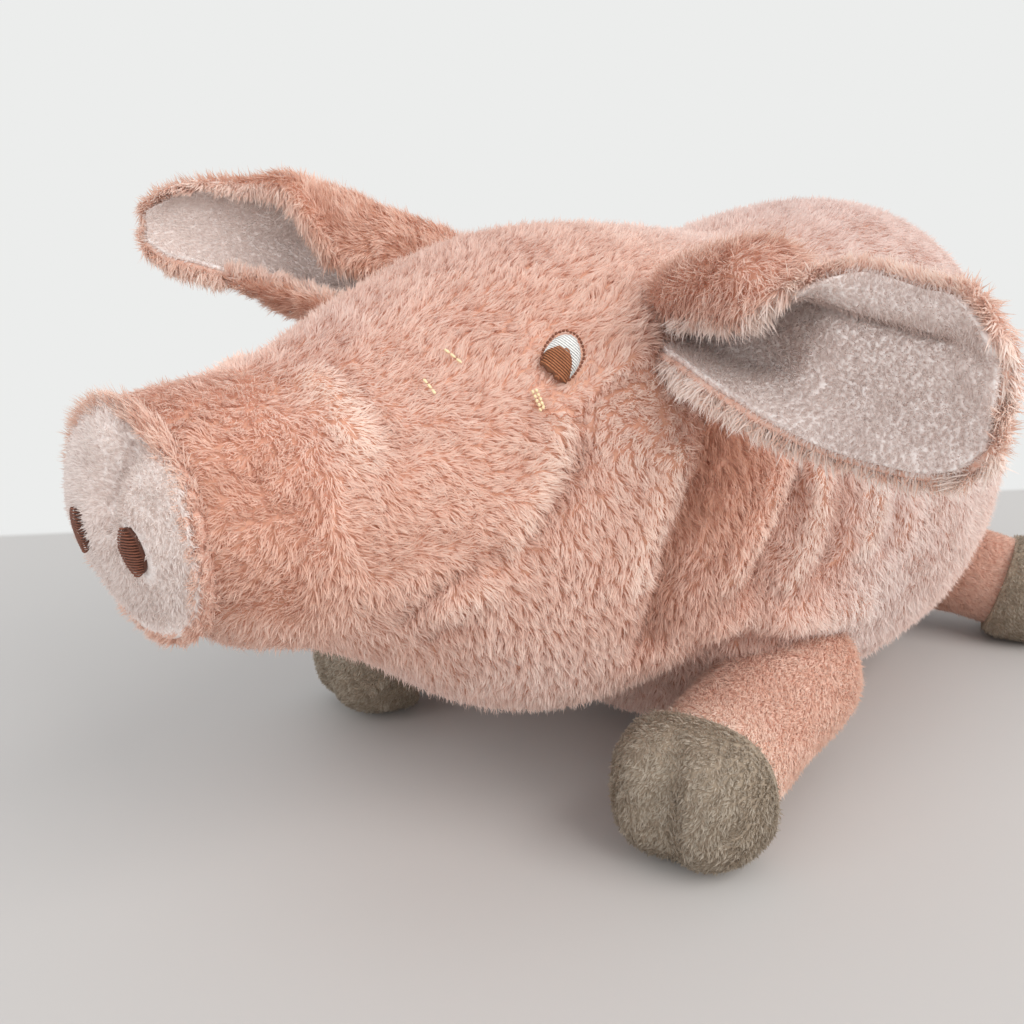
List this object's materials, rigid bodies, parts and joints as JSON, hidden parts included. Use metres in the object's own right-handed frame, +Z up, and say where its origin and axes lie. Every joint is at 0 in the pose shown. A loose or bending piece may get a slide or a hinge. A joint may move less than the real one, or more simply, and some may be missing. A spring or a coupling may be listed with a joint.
{
  "type": "plush pig",
  "caption": "Stuffed plush pig lying on its belly, with an embroidered face, floppy lined ears, a padded snout and legs with sewn-on hooves.",
  "frame": {"origin": "middle of the belly's flat resting face on the floor, below the middle of the torso", "axes": "+Z up, -Y towards the snout, +X towards the pig's left side"},
  "size_m": [0.2692, 0.3947, 0.1846],
  "materials": {
    "long_pile": "matte",
    "short_pile": "matte",
    "hoof_pile": "matte",
    "filling": "matte",
    "white_thread": "satin",
    "brown_thread": "satin",
    "iris_thread": "satin",
    "cream_thread": "satin",
    "pink_thread": "satin"
  },
  "bodies": {
    "torso": {"torso_cover": "long_pile", "torso_filling": "filling"},
    "head": {"head_cover": "long_pile", "head_filling": "filling", "snout_disc": "short_pile", "eye_white_left": "white_thread", "eye_white_right": "white_thread", "iris_left": "iris_thread", "iris_right": "iris_thread", "eye_outline_left": "brown_thread", "eye_outline_right": "brown_thread", "under_eye_stitch_left": "cream_thread", "under_eye_stitch_right": "cream_thread", "cheek_stitch_left": "pink_thread", "cheek_stitch_right": "pink_thread", "brow_stitch_left": "cream_thread", "brow_stitch_right": "cream_thread", "nostril_left": "brown_thread", "nostril_right": "brown_thread"},
    "ear_left": {"ear_left_back": "long_pile", "ear_left_lining": "short_pile"},
    "ear_right": {"ear_right_back": "long_pile", "ear_right_lining": "short_pile"},
    "leg_front_left": {"leg_front_left_cover": "long_pile", "leg_front_left_filling": "filling", "hoof_front_left": "hoof_pile"},
    "leg_front_right": {"leg_front_right_cover": "long_pile", "leg_front_right_filling": "filling", "hoof_front_right": "hoof_pile"},
    "leg_hind_left": {"leg_hind_left_cover": "long_pile", "leg_hind_left_filling": "filling", "hoof_hind_left": "hoof_pile"},
    "leg_hind_right": {"leg_hind_right_cover": "long_pile", "leg_hind_right_filling": "filling", "hoof_hind_right": "hoof_pile"},
    "tail": {"tail": "long_pile"}
  },
  "joints": [
    {"name": "neck_nod", "type": "hinge", "parent": "torso", "child": "head", "pos_m": [0, -0.079, 0.1], "axis": [1, 0, 0], "range_deg": [-12, 6], "stiffness_Nm_per_rad": 3},
    {"name": "ear_left_flop", "type": "hinge", "parent": "head", "child": "ear_left", "pos_m": [0.054, -0.113, 0.146], "axis": [-0.5878, 0, 0.809], "range_deg": [-35, 12], "stiffness_Nm_per_rad": 0.05},
    {"name": "ear_right_flop", "type": "hinge", "parent": "head", "child": "ear_right", "pos_m": [-0.054, -0.113, 0.146], "axis": [0.5878, 0, 0.809], "range_deg": [-40, 10], "stiffness_Nm_per_rad": 0.05},
    {"name": "front_left_swing", "type": "hinge", "parent": "torso", "child": "leg_front_left", "pos_m": [0.057, -0.058, 0.031], "axis": [0, 0, 1], "range_deg": [-4, 20], "stiffness_Nm_per_rad": 0.3},
    {"name": "front_right_swing", "type": "hinge", "parent": "torso", "child": "leg_front_right", "pos_m": [-0.057, -0.058, 0.031], "axis": [0, 0, 1], "range_deg": [-20, 4], "stiffness_Nm_per_rad": 0.3},
    {"name": "hind_left_swing", "type": "hinge", "parent": "torso", "child": "leg_hind_left", "pos_m": [0.026, 0.097, 0.031], "axis": [0, 0, 1], "range_deg": [-4, 25], "stiffness_Nm_per_rad": 0.3},
    {"name": "hind_right_swing", "type": "hinge", "parent": "torso", "child": "leg_hind_right", "pos_m": [-0.026, 0.097, 0.031], "axis": [0, 0, 1], "range_deg": [-25, 4], "stiffness_Nm_per_rad": 0.3},
    {"name": "tail_wag", "type": "hinge", "parent": "torso", "child": "tail", "pos_m": [0, 0.1178, 0.112], "axis": [0, 0, 1], "range_deg": [-25, 25], "stiffness_Nm_per_rad": 0.01}
  ]
}
